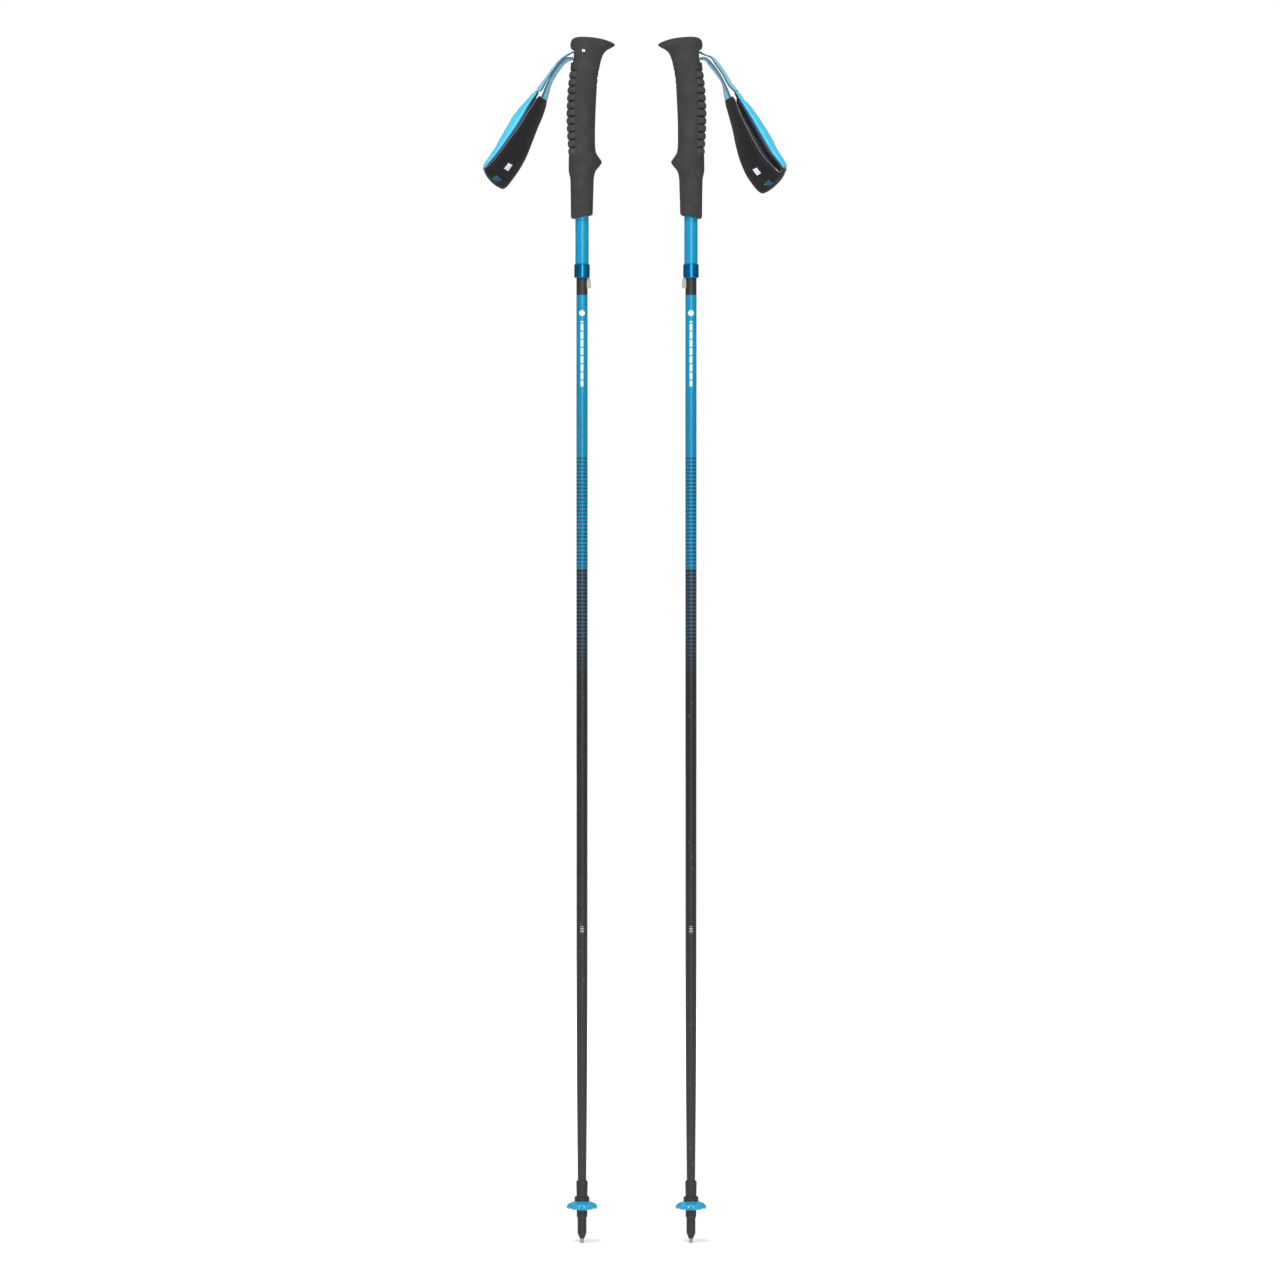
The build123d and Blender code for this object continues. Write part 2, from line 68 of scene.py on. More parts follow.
class Pole:
    """One pole's place, read from the frame: its axis, and +1 or -1 for the way its nose points."""

    def __init__(self, name, turn):
        self.name = name
        self.turn = turn
        low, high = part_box(f"{name}_upper_tube")
        self.axis = (low.x + high.x) / 2 / MM
        self.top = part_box(f"{name}_grip_foam")[1].z / MM
        self.collar_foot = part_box(f"{name}_lock_collar")[0].z / MM
        self.tube_radius = (high.x - low.x) / 2 / MM
        self.joints = {j["name"].removeprefix(name + "_"): j for j in frame["joints"]}

    def world(self, points):
        """Millimetres in the pole's frame as metres in the row frame: a half turn, then a shift."""
        points = np.asarray(points, float)
        return (points * (self.turn, self.turn, 1.0) + (self.axis, 0.0, 0.0)) * MM

    def node(self, part):
        return f"{self.name}_{part}"


POLES = [Pole("left", 1), Pole("right", -1)]


# --- Surfaces -------------------------------------------------------------------------------


def spline(rows, t):
    """Rows of numbers read at the places t, on a Catmull-Rom spline through them all."""
    rows = np.asarray(rows, float)
    last = len(rows) - 1
    i = np.clip(np.floor(t).astype(int), 0, last - 1)
    f = (t - i).reshape((-1,) + (1,) * (rows.ndim - 1))
    a, b, c, d = rows[np.maximum(i - 1, 0)], rows[i], rows[i + 1], rows[np.minimum(i + 2, last)]
    return b + 0.5 * f * (c - a + f * (2 * a - 5 * b + 4 * c - d + f * (3 * b - a - 3 * c + d)))


def bell(x, width):
    """A smooth bump of height 1 at x = 0 that is nearly gone one width away."""
    return np.exp(-((x / width) ** 2) * 2)


def ramp(x, low, high):
    """0 below low, 1 above high, and a smooth step between."""
    f = np.clip((x - low) / (high - low), 0, 1)
    return f * f * (3 - 2 * f)


def unit(v):
    return v / np.linalg.norm(v, axis=-1, keepdims=True)


def skin(name, rings, finish, looped=False, **attributes):
    """A closed mesh through rings of points [ring, place, xyz] in metres, facing outwards.

    Quads join each ring to the next; the two ends get a fan round their middle, or the last
    ring joins the first. The UV map is the distance round and along, in metres."""
    count, around = rings.shape[:2]
    turn = np.arange(around)
    after = (turn + 1) % around
    start = np.arange(count if looped else count - 1)[:, None]
    here, there = start * around, (start + 1) % count * around
    quads = np.stack([here + turn, here + after, there + after, there + turn], -1)
    step_round = np.linalg.norm(np.roll(rings, -1, 1) - rings, axis=-1).mean(0)
    step_along = np.linalg.norm(np.roll(rings, -1, 0) - rings, axis=-1).mean(1)
    u = np.concatenate([[0], np.cumsum(step_round)])
    v = np.concatenate([[0], np.cumsum(step_along)])
    spread = np.ones((len(start), 1))
    us = np.stack([u[:-1] * spread, u[1:] * spread, u[1:] * spread, u[:-1] * spread], -1)
    vs = np.stack([v[start], v[start], v[start + 1], v[start + 1]], -1) * np.ones((1, around, 1))
    quads, uv = quads.reshape(-1, 4), np.stack([us, vs], -1).reshape(-1, 4, 2)
    points = rings.reshape(-1, 3)
    fans = np.zeros((0, 3), int)
    if not looped:
        points = np.vstack([points, rings[0].mean(0), rings[-1].mean(0)])
        first, last = count * around, (count - 1) * around
        fans = np.vstack([
            np.stack([np.full(around, first), after, turn], -1),
            np.stack([np.full(around, first + 1), last + turn, last + after], -1),
        ])
    a, b, c, d = (points[quads[:, k]] for k in range(4))
    volume = np.einsum("ij,ij->", a, np.cross(b, c) + np.cross(c, d))
    if volume < 0:
        quads, fans, uv = quads[:, ::-1], fans[:, ::-1], uv[:, ::-1]
    mesh = bpy.data.meshes.new(name)
    mesh.from_pydata(points.tolist(), [], quads.tolist() + fans.tolist())
    mesh.polygons.foreach_set("use_smooth", np.ones(len(mesh.polygons), bool))
    flat = np.vstack([uv.reshape(-1, 2), np.zeros((fans.size, 2))])
    mesh.uv_layers.new(name="UVMap").data.foreach_set("uv", flat.ravel())
    for key, values in attributes.items():
        values = np.broadcast_to(values, (count, around)).ravel()
        ends = [] if looped else [values[:around].mean(), values[-around:].mean()]
        layer = mesh.attributes.new(key, "FLOAT", "POINT")
        layer.data.foreach_set("value", np.concatenate([values, ends]).astype(np.float32))
    mesh.materials.append(finish)
    mesh.update()
    piece = bpy.data.objects.new(name, mesh)
    bpy.context.scene.collection.objects.link(piece)
    return piece


def finished(piece, body, slot, *replaced):
    """Says which body a piece rides on and the CAD nodes it stands for; its material slot is not used.
    """
    if body:
        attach(piece, body)
    if replaced:
        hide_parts(*replaced)
    return piece


# --- Finishes -------------------------------------------------------------------------------


class Value:
    """One output of a finish's nodes; arithmetic on it adds Math nodes."""

    def __init__(self, finish, socket):
        self.finish = finish
        self.socket = socket

    def __add__(self, other):
        return self.finish.math("ADD", self, other)

    def __sub__(self, other):
        return self.finish.math("SUBTRACT", self, other)

    def __rsub__(self, other):
        return self.finish.math("SUBTRACT", other, self)

    def __mul__(self, other):
        return self.finish.math("MULTIPLY", self, other)

    def __truediv__(self, other):
        return self.finish.math("DIVIDE", self, other)

    __radd__ = __add__
    __rmul__ = __mul__

    def __abs__(self):
        return self.finish.math("ABSOLUTE", self)

    def fract(self):
        return self.finish.math("FRACT", self)

    def wave(self, length):
        """A sine of that wavelength, from -1 to 1."""
        return self.finish.math("SINE", self * (2 * pi / length))

    def rise(self, low, high):
        """0 below low, 1 above high, and a smooth step between."""
        settings = {"interpolation_type": "SMOOTHSTEP"}
        inputs = {"Value": self, "From Min": low, "From Max": high}
        return self.finish.node("ShaderNodeMapRange", settings, inputs)

    def within(self, low, high, soft):
        """1 between low and high, with soft edges, and 0 outside."""
        return self.rise(low - soft, low + soft) * (1 - self.rise(high - soft, high + soft))


class Finish:
    """A material's node tree, with short ways to add its nodes."""

    def __init__(self, name):
        self.material = bpy.data.materials.new(name)
        self.material.use_nodes = True
        self.tree = self.material.node_tree
        self.surface = self.tree.nodes["Principled BSDF"]
        self.place = self.node("ShaderNodeTexCoord", out="Object")
        self.uv = self.node("ShaderNodeTexCoord", out="UV")

    def node(self, kind, settings=(), inputs=(), out=0):
        """Adds one node: settings first, then the values or links of its sockets."""
        made = self.tree.nodes.new(kind)
        for key, value in dict(settings).items():
            setattr(made, key, value)
        for key, value in dict(inputs).items():
            self.put(made.inputs[key], value)
        return Value(self, made.outputs[out])

    def put(self, socket, value):
        if isinstance(value, Value):
            self.tree.links.new(value.socket, socket)
        else:
            socket.default_value = value

    def math(self, operation, *values):
        settings = {"operation": operation}
        return self.node("ShaderNodeMath", settings, dict(enumerate(values)))

    def axes(self, vector=None):
        """The x, y and z of a vector, in metres."""
        inputs = {"Vector": vector or self.place}
        x = self.node("ShaderNodeSeparateXYZ", (), inputs, "X")
        made = x.socket.node
        return x, Value(self, made.outputs["Y"]), Value(self, made.outputs["Z"])

    def stretched(self, x, y, z, vector=None):
        """A vector scaled along each axis."""
        inputs = {0: vector or self.place, 1: (x, y, z)}
        return self.node("ShaderNodeVectorMath", {"operation": "MULTIPLY"}, inputs)

    def noise(self, size, detail=2.0, vector=None):
        """Even noise from 0 to 1, with blotches of about that size in metres."""
        inputs = {"Vector": vector or self.place, "Scale": 1 / size, "Detail": detail}
        return self.node("ShaderNodeTexNoise", (), inputs)

    def attribute(self, name):
        return self.node("ShaderNodeAttribute", {"attribute_name": name}, (), "Fac")

    def mix(self, factor, a, b):
        """Colour a where factor is 0 and colour b where it is 1."""
        return self.node("ShaderNodeMix", {"data_type": "RGBA"}, {0: factor, 6: a, 7: b}, 2)

    def bump(self, height, depth):
        """A normal from a height of 0 to 1 that stands for that depth in metres."""
        return self.node("ShaderNodeBump", (), {"Height": height, "Distance": depth})

    def done(self, **sockets):
        """Fills the shader's sockets: underscores in the names stand for spaces."""
        for key, value in sockets.items():
            self.put(self.surface.inputs[key.replace("_", " ")], value)
        return self.material


def shade(red, green, blue):
    """A colour given in screen values of 0 to 255, as linear light."""
    c = np.array([red, green, blue]) / 255
    linear = np.where(c <= 0.04045, c / 12.92, ((c + 0.055) / 1.055) ** 2.4)
    return (*linear.tolist(), 1.0)


# Sizes that several finishes share, in metres: the stitches' pitch, the painted hoops' pitch,
# and how far from the shafts' joint the hoops start and stop
STITCH_PITCH = 0.0028
HOOP_PITCH = 0.00373
HOOPS_FROM = 0.001
HOOPS_TO = 0.111
# The upper shaft's plain marks, in metres above its foot, and the lower shaft's above the ground
DASHES_FOOT = 0.181
DASHES_HEAD = 0.246
DASH_PITCH = 0.0081
SPOT_HEIGHT = 0.254
BARS_FOOT = 0.3085
BARS_HEAD = 0.3155
BAR_PITCH = 0.0026


def foam_finish():
    """Closed-cell foam: fine cells, lighter where it is worn, a painted highlight on the top of the
    head, and painted shade in the grooves and the strap's pocket.
    """
    f = Finish("closed_cell_foam")
    cells = f.noise(0.0007, 3)
    blotches = f.noise(0.012, 3)
    light = cells * 0.5 + blotches * 0.5 + f.attribute("rubbed") * 0.45
    base = f.mix(light.rise(0.2, 1.1), shade(42, 41, 41), shade(70, 69, 69))
    # Painted shade: near black in the grooves and in the pocket that the strap comes out of.
    base = f.mix(f.attribute("groove"), base, shade(13, 11, 11))
    return f.done(
        Base_Color=base,
        Roughness=0.72 + cells * 0.2,
        Normal=f.bump(cells + f.noise(0.002) * 0.6, 0.00018),
        Specular_IOR_Level=0.3,
    )


def fabric_marks(along, across, marks):
    """A mask of small plain rectangles: each is (place along, place across, length, width)."""
    mask = 0.0
    for s, a, length, width in marks:
        in_length = along.within(s - length / 2, s + length / 2, 0.00015)
        mask = in_length * across.within(a - width / 2, a + width / 2, 0.00015) + mask
    return mask


def stitches(along, edge, near, far):
    """A row of stitches between two distances in from the edge: 1 on a stitch."""
    return edge.within(near, far, 0.0001) * (along / STITCH_PITCH).fract().within(0.15, 0.8, 0.05)


def webbing_finish():
    """Flat woven webbing: light blue with a dark stripe inside each edge, and ribbed across."""
    f = Finish("woven_webbing")
    along, across = f.attribute("along"), f.attribute("across")
    zigzag = abs((across / 0.0016).fract() - 0.5) * 0.0008
    ribs = (along + zigzag).wave(0.0011) * 0.5 + 0.5
    threads = across.wave(0.0008) * 0.5 + 0.5
    rim = abs(across).rise(0.0045, 0.0052)
    tone = ribs * 0.5 + threads * 0.2 + f.noise(0.004) * 0.4
    base = f.mix(tone.rise(0.0, 1.1), shade(70, 178, 214), shade(118, 214, 238))
    base = f.mix(rim * 0.9, base, shade(2, 58, 84))
    return f.done(
        Base_Color=base,
        Roughness=0.6 + threads * 0.2,
        Normal=f.bump(ribs * 0.7 + threads * 0.3, 0.00022),
        Sheen_Weight=0.25,
    )


def pad_finish(label_place):
    """The pad's black knit, its grey lining inside, its stitches and its plain sewn marks."""
    f = Finish("pad_knit")
    along, across, inside = f.attribute("along"), f.attribute("across"), f.attribute("inside")
    edge = f.attribute("edge")
    knit_u, knit_v = along.wave(0.0013), across.wave(0.0011)
    knit = knit_u * knit_v * 0.5 + 0.5
    face = f.mix(knit * 0.6 + f.noise(0.006) * 0.5, shade(7, 7, 9), shade(22, 21, 25))
    lining = f.mix(knit * 0.7 + f.noise(0.002) * 0.3, shade(66, 62, 68), shade(112, 106, 112))
    base = f.mix(inside.rise(0.45, 0.55), face, lining)
    stitch = stitches(along, edge, 0.0022, 0.0027)
    base = f.mix(stitch, base, shade(62, 60, 66))
    label = fabric_marks(along, across, [(label_place, 0.0, 0.0072, 0.0062)])
    first_bar = label_place + 0.015
    bars = [(first_bar + 0.0022 * i, -0.0008 * i, 0.0012, 0.009 - 0.002 * i) for i in range(3)]
    outer = 1 - inside.rise(0.45, 0.55)
    base = f.mix(label * outer, base, f.mix(knit, shade(196, 192, 210), shade(238, 236, 244)))
    base = f.mix(fabric_marks(along, across, bars) * outer, base, shade(24, 108, 130))
    return f.done(
        Base_Color=base,
        Roughness=0.74 + knit * 0.18,
        Normal=f.bump(knit * 0.6 + f.noise(0.0035, 3) * 0.8 + stitch * 0.6, 0.00025),
        Specular_IOR_Level=0.3,
        Sheen_Weight=0.05,
    )


def panel_finish():
    """The strap's outer panel: bright blue ripstop with a dark bound edge and a row of stitches."""
    f = Finish("panel_ripstop")
    along, across, edge = f.attribute("along"), f.attribute("across"), f.attribute("edge")
    weave = along.wave(0.0007) * across.wave(0.0007) * 0.5 + 0.5
    lines = [(way / 0.005).fract().within(0.0, 0.08, 0.02) for way in (along, across)]
    cord = lines[0] + lines[1]
    tone = weave * 0.4 + f.noise(0.008) * 0.5 + cord * 0.12
    base = f.mix(tone, shade(14, 162, 208), shade(66, 204, 234))
    base = f.mix(1 - edge.rise(0.0008, 0.0014), base, shade(8, 56, 84))
    stitch = stitches(along, edge, 0.0020, 0.0024)
    base = f.mix(stitch, base, shade(150, 226, 244))
    return f.done(
        Base_Color=base,
        Roughness=0.5 + weave * 0.2,
        Normal=f.bump(weave * 0.4 + cord * 0.3 + f.noise(0.005, 3), 0.00022),
        Sheen_Weight=0.2,
    )


def piping_finish():
    """A grey twisted cord."""
    f = Finish("pale_piping")
    round_it, along, _ = f.axes(f.uv)
    twist = (along + round_it * 1.4).wave(0.0012) * 0.5 + 0.5
    base = f.mix(twist, shade(70, 76, 84), shade(120, 128, 136))
    return f.done(Base_Color=base, Roughness=0.6 + twist * 0.2, Normal=f.bump(twist, 0.0001))


def lacquer(f, base, rough=0.26):
    """Lacquer on a drawn tube: faint draw lines, small scuffs, and a clear coat."""
    lines = f.noise(0.001, 2, f.stretched(1.0, 1.0, 0.01))
    scuffs = f.noise(0.003, 4).rise(0.62, 0.8)
    return f.done(
        Base_Color=f.mix(scuffs * 0.12, base, shade(210, 214, 216)),
        Roughness=rough + lines * 0.1 + scuffs * 0.15,
        Normal=f.bump(lines * 0.5 + f.noise(0.0012, 2), 0.00001),
        Specular_IOR_Level=0.3,
        Coat_Weight=0.12,
        Coat_Roughness=0.3,
    )


def hoops(z, foot, head):
    """Painted hoops between two heights: 1 on a hoop and 0 between hoops."""
    return z.wave(HOOP_PITCH).rise(-0.35, 0.35) * z.within(foot, head, 0.0004)


def front_column(pole, x, y):
    """How far a point is to the side of a shaft's axis, and 1 on the shaft's front half."""
    return abs(x - pole.axis * MM), 1 - y.rise(-0.0012, -0.0008)


def dashes(side, z, half_width, foot, head, pitch, painted):
    """A column of plain marks, each on the painted share of its pitch: 1 on a mark."""
    column = side.within(-1.0, half_width, 0.0001) * z.within(foot, head, 0.0001)
    return column * (z / pitch).fract().within(*painted)


def upper_shaft_finish(pole):
    """The upper shaft: blue lacquer, darker hoops at its foot, and plain dashes below a spot."""
    f = Finish(pole.name + "_blue_lacquer")
    x, y, z = f.axes()
    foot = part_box(pole.node("upper_section_tube"))[0].z
    tone = f.noise(0.02, 2)
    base = f.mix(tone, shade(0, 122, 160), shade(0, 136, 174))
    low = z.rise(foot + 0.155, foot + 0.215)
    base = f.mix((1 - low) * 0.5, base, shade(4, 108, 142))
    base = f.mix(hoops(z, foot + HOOPS_FROM, foot + HOOPS_TO) * 0.85, base, shade(0, 66, 92))
    side, front = front_column(pole, x, y)
    ends = foot + DASHES_FOOT, foot + DASHES_HEAD
    dash = dashes(side, z, 0.0014, *ends, DASH_PITCH, (0.06, 0.90, 0.03))
    from_spot = z - (foot + SPOT_HEIGHT)
    spot = 1 - (side * side + from_spot * from_spot).rise(0.0027**2, 0.0031**2)
    base = f.mix((dash * 0.8 + spot * 0.92) * front, base, shade(222, 232, 236))
    return lacquer(f, base)


def plain_blue_finish():
    """The handle tube's blue lacquer."""
    f = Finish("blue_lacquer")
    return lacquer(f, f.mix(f.noise(0.02, 2), shade(0, 128, 168), shade(0, 142, 184)))


def dark_shaft_finish(pole, part):
    """Charcoal lacquer, with painted light from the floor that makes it lighter towards the ground:
    hoops at the middle shaft's head that fade out downwards, or a few plain bars on the lower shaft."""
    f = Finish(f"{pole.name}_{part}_charcoal")
    x, y, z = f.axes()
    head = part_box(pole.node("middle_section_tube"))[1].z
    # Painted light from the floor: lightest below 0.08 m, fading out by 0.5 m.
    base = f.mix(1 - z.rise(0.08, 0.50), shade(26, 25, 25), shade(46, 44, 44))
    base = f.mix(f.noise(0.015, 3) * 0.3, base, shade(44, 43, 44))
    if part == "middle_section_tube":
        fade = z.rise(head - 0.112, head - 0.055)
        hoop = hoops(z, head - HOOPS_TO, head - HOOPS_FROM)
        band = f.mix(hoop, shade(44, 70, 86), shade(8, 28, 40))
        base = f.mix(fade, base, band)
    else:
        side, front = front_column(pole, x, y)
        bar = dashes(side, z, 0.0018, BARS_FOOT, BARS_HEAD, BAR_PITCH, (0.1, 0.7, 0.04))
        base = f.mix(bar * front * 0.8, base, shade(170, 170, 172))
    return lacquer(f, base, 0.32)


def collar_finish():
    """Turned and anodised aluminium: fine rings round it, darker in the blotches."""
    f = Finish("anodised_collar")
    rings = f.noise(0.0004, 2, f.stretched(0.02, 0.02, 1.0))
    base = f.mix(rings * 0.6 + f.noise(0.01) * 0.4, shade(0, 78, 120), shade(6, 128, 184))
    return f.done(
        Base_Color=base, Metallic=0.85, Roughness=0.24 + rings * 0.16, Normal=f.bump(rings, 0.00001)
    )


def moulded_finish(name, dark, light, rough, grain=0.0005, **constants):
    """Moulded plastic: a fine spark grain, with faint flow marks."""
    f = Finish(name)
    spark = f.noise(grain, 3)
    flow = f.noise(0.009, 3, f.stretched(1.0, 1.0, 0.35))
    return f.done(
        Base_Color=f.mix(spark * 0.5 + flow * 0.5, dark, light),
        Roughness=rough + spark * 0.16,
        Normal=f.bump(spark + flow * 0.4, 0.00004),
        **constants,
    )


def metal_finish(name, dark, light, rough, across=1.0, along=0.03):
    """Bright metal with fine lines left by its tool."""
    f = Finish(name)
    lines = f.noise(0.0002, 3, f.stretched(across, across, along))
    return f.done(
        Base_Color=f.mix(lines, dark, light),
        Metallic=1.0,
        Roughness=rough + lines * 0.18,
        Normal=f.bump(lines, 0.00001),
    )


def cord_finish():
    """A braided sheath: two sets of strands that cross, in grey with darker flecks."""
    f = Finish("braided_cord")
    round_it, along, _ = f.axes(f.uv)
    right, left = (round_it + along).wave(0.0012), (round_it - along).wave(0.0012)
    braid = right * left * 0.5 + 0.5
    base = f.mix(braid * 0.7 + f.noise(0.003) * 0.3, shade(70, 72, 74), shade(150, 152, 154))
    return f.done(Base_Color=base, Roughness=0.65 + braid * 0.2, Normal=f.bump(braid, 0.00015))


FOAM = foam_finish()
WEBBING = webbing_finish()
PANEL = panel_finish()
PIPING = piping_finish()
BLUE = plain_blue_finish()
COLLAR = collar_finish()
BLACK = moulded_finish("moulded_black", shade(20, 19, 22), shade(38, 36, 39), 0.42)
ACETAL = moulded_finish("natural_acetal", shade(222, 220, 210), shade(240, 238, 230), 0.35)
BUTTON = moulded_finish("button_grey", shade(138, 138, 126), shade(170, 170, 156), 0.32)
BASKET = moulded_finish(
    "basket_blue",
    shade(0, 148, 204),
    shade(40, 196, 236),
    0.16,
    0.006,
    Transmission_Weight=0.3,
    IOR=1.46,
    Coat_Weight=0.3,
)
STEEL = metal_finish("bright_steel", shade(176, 178, 180), shade(226, 228, 230), 0.18)
CARBIDE = metal_finish("ground_metal", shade(120, 120, 122), shade(196, 196, 198), 0.26, 0.1, 1.0)
CORD = cord_finish()


# --- Grips ----------------------------------------------------------------------------------

# Sections of the foam from the top down: depth below the top, reach behind the axis, reach in
# front of it and half width across, in millimetres
FOAM_SECTIONS = [
    (0.0, -1.5, 1.9, 0.2),
    (0.25, 4.6, 7.4, 5.6),
    (0.9, 7.4, 14.0, 8.8),
    (1.9, 9.2, 19.6, 10.9),
    (3.3, 10.4, 24.6, 12.4),
    (5.0, 11.1, 29.0, 13.3),
    (6.5, 11.5, 31.7, 13.7),
    (7.9, 11.6, 32.7, 13.9),
    (9.3, 11.5, 31.8, 14.0),
    (11.0, 11.1, 29.0, 14.0),
    (12.8, 10.7, 25.6, 13.9),
    (15.0, 10.5, 22.9, 13.8),
    (18.5, 10.6, 20.7, 13.7),
    (23.5, 11.0, 18.9, 13.6),
    (31.0, 11.5, 17.3, 13.6),
    (40.0, 12.8, 15.7, 13.8),
    (53.0, 14.2, 14.6, 14.2),
    (75.0, 15.2, 13.5, 14.4),
    (95.0, 14.8, 13.0, 14.4),
    (110.0, 13.8, 13.2, 14.0),
    (116.0, 13.4, 14.4, 13.9),
    (120.5, 13.3, 17.3, 13.8),
    (124.5, 13.3, 19.7, 13.7),
    (128.5, 13.4, 17.6, 13.4),
    (133.0, 13.3, 13.9, 13.0),
    (137.0, 12.6, 12.5, 12.4),
    (141.0, 11.7, 11.8, 11.9),
    (153.0, 11.4, 11.4, 11.5),
    (168.0, 11.2, 11.0, 11.3),
    (178.0, 11.1, 10.8, 11.1),
    (180.2, 10.7, 10.4, 10.7),
    (181.0, 9.6, 9.4, 9.6),
]
# The grooves round the back and the short notches in front, the pocket that the strap comes out
# of, the slant of the foot, and the small pit, with a raised rim, that bares the pin's end
GROOVES = 11
GROOVE_TOP = 34.0
GROOVE_PITCH = 7.65
GROOVE_DEPTH = 1.35
GROOVE_HALF = 0.75
NOTCHES = (34.5, 41.0, 47.5)
MOUTH_DEPTH = 19.0
MOUTH_HALF = (8.4, 6.3)
MOUTH_CUT = 4.6
CUFF_SLANT = 3.4
PIN_PLACE = (1.5, 15.0)
PIN_PIT = 0.6
PIN_RIM = 0.35


def grip_rings():
    """The foam's rings in millimetres, with a mask of painted shade for the grooves and the strap's
    pocket, and a mask of wear with a painted highlight on top.

    Each ring is an egg in plan: a half ellipse behind the axis and one in front, drawn in
    towards the nose. Narrow grooves are cut round the back, and a pocket for the strap."""
    knots = np.array([row[0] for row in FOAM_SECTIONS])
    dense = np.arange(GROOVE_TOP - 4, GROOVE_TOP + GROOVE_PITCH * GROOVES, 0.3)
    dome = 8 * np.linspace(0, 1, 34) ** 2
    shoulder = np.arange(8.2, GROOVE_TOP - 4, 0.45)
    rest = np.arange(dense[-1] + 0.6, knots[-1], 0.75)
    depth = np.concatenate([dome, shoulder, dense, rest, knots[-2:]])
    depth = np.unique(np.round(depth, 4))
    t = np.interp(depth, knots, np.arange(len(knots)))
    behind, front, half = spline(FOAM_SECTIONS, t)[:, 1:].T[:, :, None]
    angle = np.linspace(0, 2 * pi, 176, endpoint=False)[None, :]
    c, s = np.cos(angle), np.sin(angle)
    nose = np.clip((front - 17) / 15, 0, 1) * np.maximum(c, 0) ** 2
    x = np.where(c > 0, front, behind) * c
    y = half * s * (1 - 0.42 * nose)
    d = depth[:, None] * np.ones_like(angle)
    rear = ramp(-c, 0.42, 0.6)
    groove = np.zeros_like(x)
    for i in range(GROOVES):
        tail = ramp(-c, 0.40 + 0.06 * (i % 3 - 1), 0.60)
        middle = GROOVE_TOP + GROOVE_PITCH * i + 0.5 * (1 - rear)
        groove = np.maximum(groove, bell(d - middle, GROOVE_HALF) * tail)
    for notch in NOTCHES:
        groove = np.maximum(groove, 0.55 * bell(d - notch, 0.9) * ramp(c, 0.72, 0.93))
    belly = rear * ramp(d, GROOVE_TOP - 3, GROOVE_TOP + 3) * (1 - ramp(d, 116, 121))
    ridge = belly * 0.35 * np.cos(2 * pi * (d - GROOVE_TOP) / GROOVE_PITCH)
    across, up = MOUTH_HALF
    pocket = (1 - ramp(np.abs(y), across - 0.7, across + 0.5)) * (c < 0)
    pocket = pocket * (1 - ramp(np.abs(d - MOUTH_DEPTH), up - 0.5, up + 0.7))
    inward = GROOVE_DEPTH * groove + ridge
    from_pin = np.hypot(x - PIN_PLACE[0], d - PIN_PLACE[1])
    pit = PIN_PIT * (1 - ramp(from_pin, 0.8, 1.3)) - PIN_RIM * bell(from_pin - 2.0, 1.2)
    pit = pit * (y < 0)
    length = np.hypot(x, y) + 1e-9
    x, y = x * (1 - inward / length) + MOUTH_CUT * pocket, y * (1 - inward / length) + pit
    slant = CUFF_SLANT * ramp(d, 150, 181) * (c * 0.5 + 0.5)
    z = -(d - slant)
    # Lighter where the ribs and belly at the back are worn, plus a painted highlight on the top 4 mm
    # of the head; painted shade in the grooves and the strap's pocket.
    rubbed = np.clip(belly * 0.6 - ridge - groove * 2, 0, 1) + ramp(-d, -4, -0.2) * 0.35
    dark = np.clip(groove * 0.85 + pocket * 0.75, 0, 1)
    return np.stack([x, y, z], -1), dark, rubbed


def make_grip(pole):
    """One foam piece from the head to the cuff, closed by a bore that fits the handle tube."""
    rings, dark, rubbed = grip_rings()
    bore = pole.tube_radius + 0.06
    tube_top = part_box(pole.node("upper_tube"))[1].z / MM - pole.top + 0.3
    angle = np.linspace(0, 2 * pi, rings.shape[1], endpoint=False)
    circle = np.stack([np.cos(angle), np.sin(angle)], -1)
    foot = rings[-1, :, 2]
    inner = []
    for radius, share in ((bore, 0.0), (bore, 0.02), (bore, 0.5), (bore, 1.0), (0.05, 1.0)):
        height = foot * (1 - share) + tube_top * share
        inner.append(np.column_stack([circle * radius, height]))
    rings = np.concatenate([rings, np.array(inner)]) + (0, 0, pole.top)
    pad = np.zeros((len(inner), rings.shape[1]))
    # The groove attribute carries the painted shade; the other carries wear and the painted highlight.
    piece = skin(
        pole.node("grip"),
        pole.world(rings),
        FOAM,
        groove=np.vstack([dark, pad]),
        rubbed=np.vstack([rubbed, pad]),
    )
    replaced = (pole.node("grip_foam"), pole.node("grip_extension"))
    finished(piece, pole.node("handle"), "grip_eva", *replaced)


# --- Straps ---------------------------------------------------------------------------------

